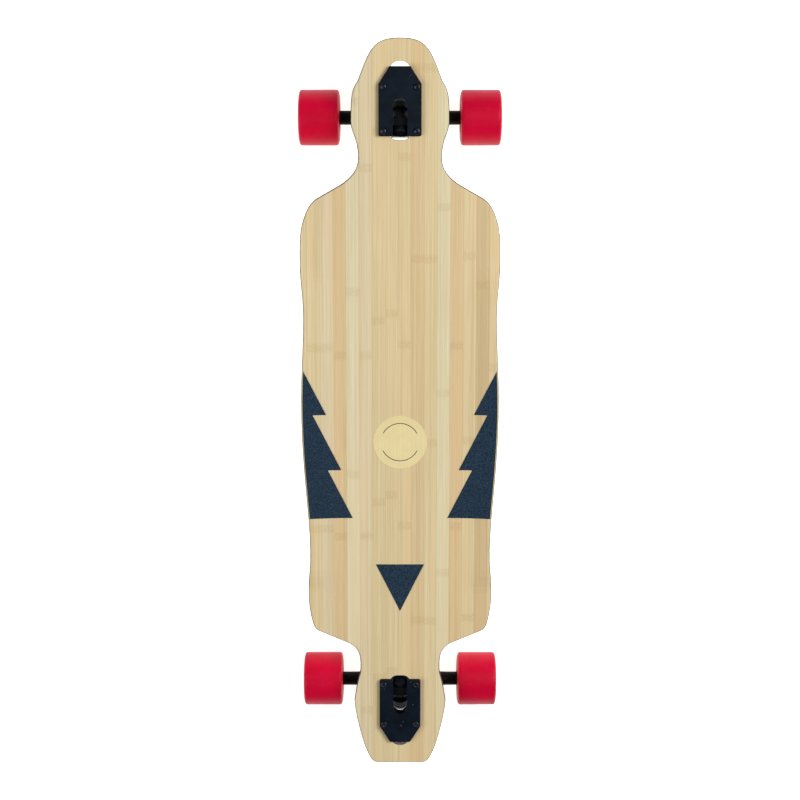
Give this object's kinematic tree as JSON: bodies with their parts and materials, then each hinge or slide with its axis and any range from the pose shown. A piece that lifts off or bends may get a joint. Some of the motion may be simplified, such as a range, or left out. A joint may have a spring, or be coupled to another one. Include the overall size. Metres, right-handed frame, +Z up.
{
  "type": "longboard skateboard",
  "caption": "Drop-through bamboo longboard with reverse-kingpin trucks, urethane wheels on ball bearings and sawtooth grip tape pieces.",
  "frame": {"origin": "on the ground under the middle of the deck", "axes": "+Y runs to the nose of the deck, +Z is up, +X is to the rider's right when facing the nose"},
  "size_m": [0.256, 0.9366, 0.1058],
  "materials": {
    "bamboo": "clear-coated vertical bamboo strips",
    "grip_tape": "coarse navy grit",
    "badge_print": "clear-coated print",
    "black_casting": "black powder coat",
    "black_steel": "black oxide",
    "steel": "zinc plated",
    "black_urethane": "moulded urethane",
    "black_rubber": "bearing seal",
    "red_urethane": "cast urethane",
    "wheel_core": "moulded core"
  },
  "bodies": {
    "deck_body": {"deck": "bamboo", "grip_left": "grip_tape", "grip_right": "grip_tape", "grip_triangle": "grip_tape", "badge": "badge_print", "front_baseplate": "black_casting", "front_pivot_cup": "black_urethane", "front_kingpin": "black_steel", "front_kingpin_nut": "black_steel", "front_boardside_bushing": "black_urethane", "front_roadside_bushing": "black_urethane", "front_boardside_washer": "steel", "front_roadside_washer": "steel", "front_mounting_bolts": "black_steel", "front_mounting_nuts": "steel", "rear_baseplate": "black_casting", "rear_pivot_cup": "black_urethane", "rear_kingpin": "black_steel", "rear_kingpin_nut": "black_steel", "rear_boardside_bushing": "black_urethane", "rear_roadside_bushing": "black_urethane", "rear_boardside_washer": "steel", "rear_roadside_washer": "steel", "rear_mounting_bolts": "black_steel", "rear_mounting_nuts": "steel"},
    "front_hanger_body": {"front_hanger": "black_casting", "front_axle": "steel", "front_axle_nuts": "steel", "front_speed_washers": "steel", "front_bearing_inner_rings": "steel", "front_bearing_spacers": "steel"},
    "rear_hanger_body": {"rear_hanger": "black_casting", "rear_axle": "steel", "rear_axle_nuts": "steel", "rear_speed_washers": "steel", "rear_bearing_inner_rings": "steel", "rear_bearing_spacers": "steel"},
    "front_left_wheel_body": {"front_left_wheel_tyre": "red_urethane", "front_left_wheel_core": "wheel_core", "front_left_bearing_outer_rings": "steel", "front_left_bearing_balls": "steel", "front_left_bearing_shields": "black_rubber"},
    "front_right_wheel_body": {"front_right_wheel_tyre": "red_urethane", "front_right_wheel_core": "wheel_core", "front_right_bearing_outer_rings": "steel", "front_right_bearing_balls": "steel", "front_right_bearing_shields": "black_rubber"},
    "rear_left_wheel_body": {"rear_left_wheel_tyre": "red_urethane", "rear_left_wheel_core": "wheel_core", "rear_left_bearing_outer_rings": "steel", "rear_left_bearing_balls": "steel", "rear_left_bearing_shields": "black_rubber"},
    "rear_right_wheel_body": {"rear_right_wheel_tyre": "red_urethane", "rear_right_wheel_core": "wheel_core", "rear_right_bearing_outer_rings": "steel", "rear_right_bearing_balls": "steel", "rear_right_bearing_shields": "black_rubber"}
  },
  "joints": [
    {"name": "front_steer", "type": "hinge", "parent": "deck_body", "child": "front_hanger_body", "pos_m": [0, 0.35345, 0.0425], "axis": [0, 0.6428, 0.766], "range_deg": [-20, 20], "stiffness_Nm_per_rad": 30, "deforming": ["front_boardside_bushing", "front_roadside_bushing"]},
    {"name": "rear_steer", "type": "hinge", "parent": "deck_body", "child": "rear_hanger_body", "pos_m": [0, -0.35705, 0.0425], "axis": [0, -0.6428, 0.766], "range_deg": [-20, 20], "stiffness_Nm_per_rad": 30, "deforming": ["rear_boardside_bushing", "rear_roadside_bushing"]},
    {"name": "front_left_wheel_spin", "type": "hinge", "parent": "front_hanger_body", "child": "front_left_wheel_body", "pos_m": [-0.102, 0.36975, 0.035], "axis": [1, 0, 0], "continuous": true},
    {"name": "front_right_wheel_spin", "type": "hinge", "parent": "front_hanger_body", "child": "front_right_wheel_body", "pos_m": [0.102, 0.36975, 0.035], "axis": [1, 0, 0], "continuous": true},
    {"name": "rear_left_wheel_spin", "type": "hinge", "parent": "rear_hanger_body", "child": "rear_left_wheel_body", "pos_m": [-0.102, -0.37335, 0.035], "axis": [1, 0, 0], "continuous": true},
    {"name": "rear_right_wheel_spin", "type": "hinge", "parent": "rear_hanger_body", "child": "rear_right_wheel_body", "pos_m": [0.102, -0.37335, 0.035], "axis": [1, 0, 0], "continuous": true}
  ]
}
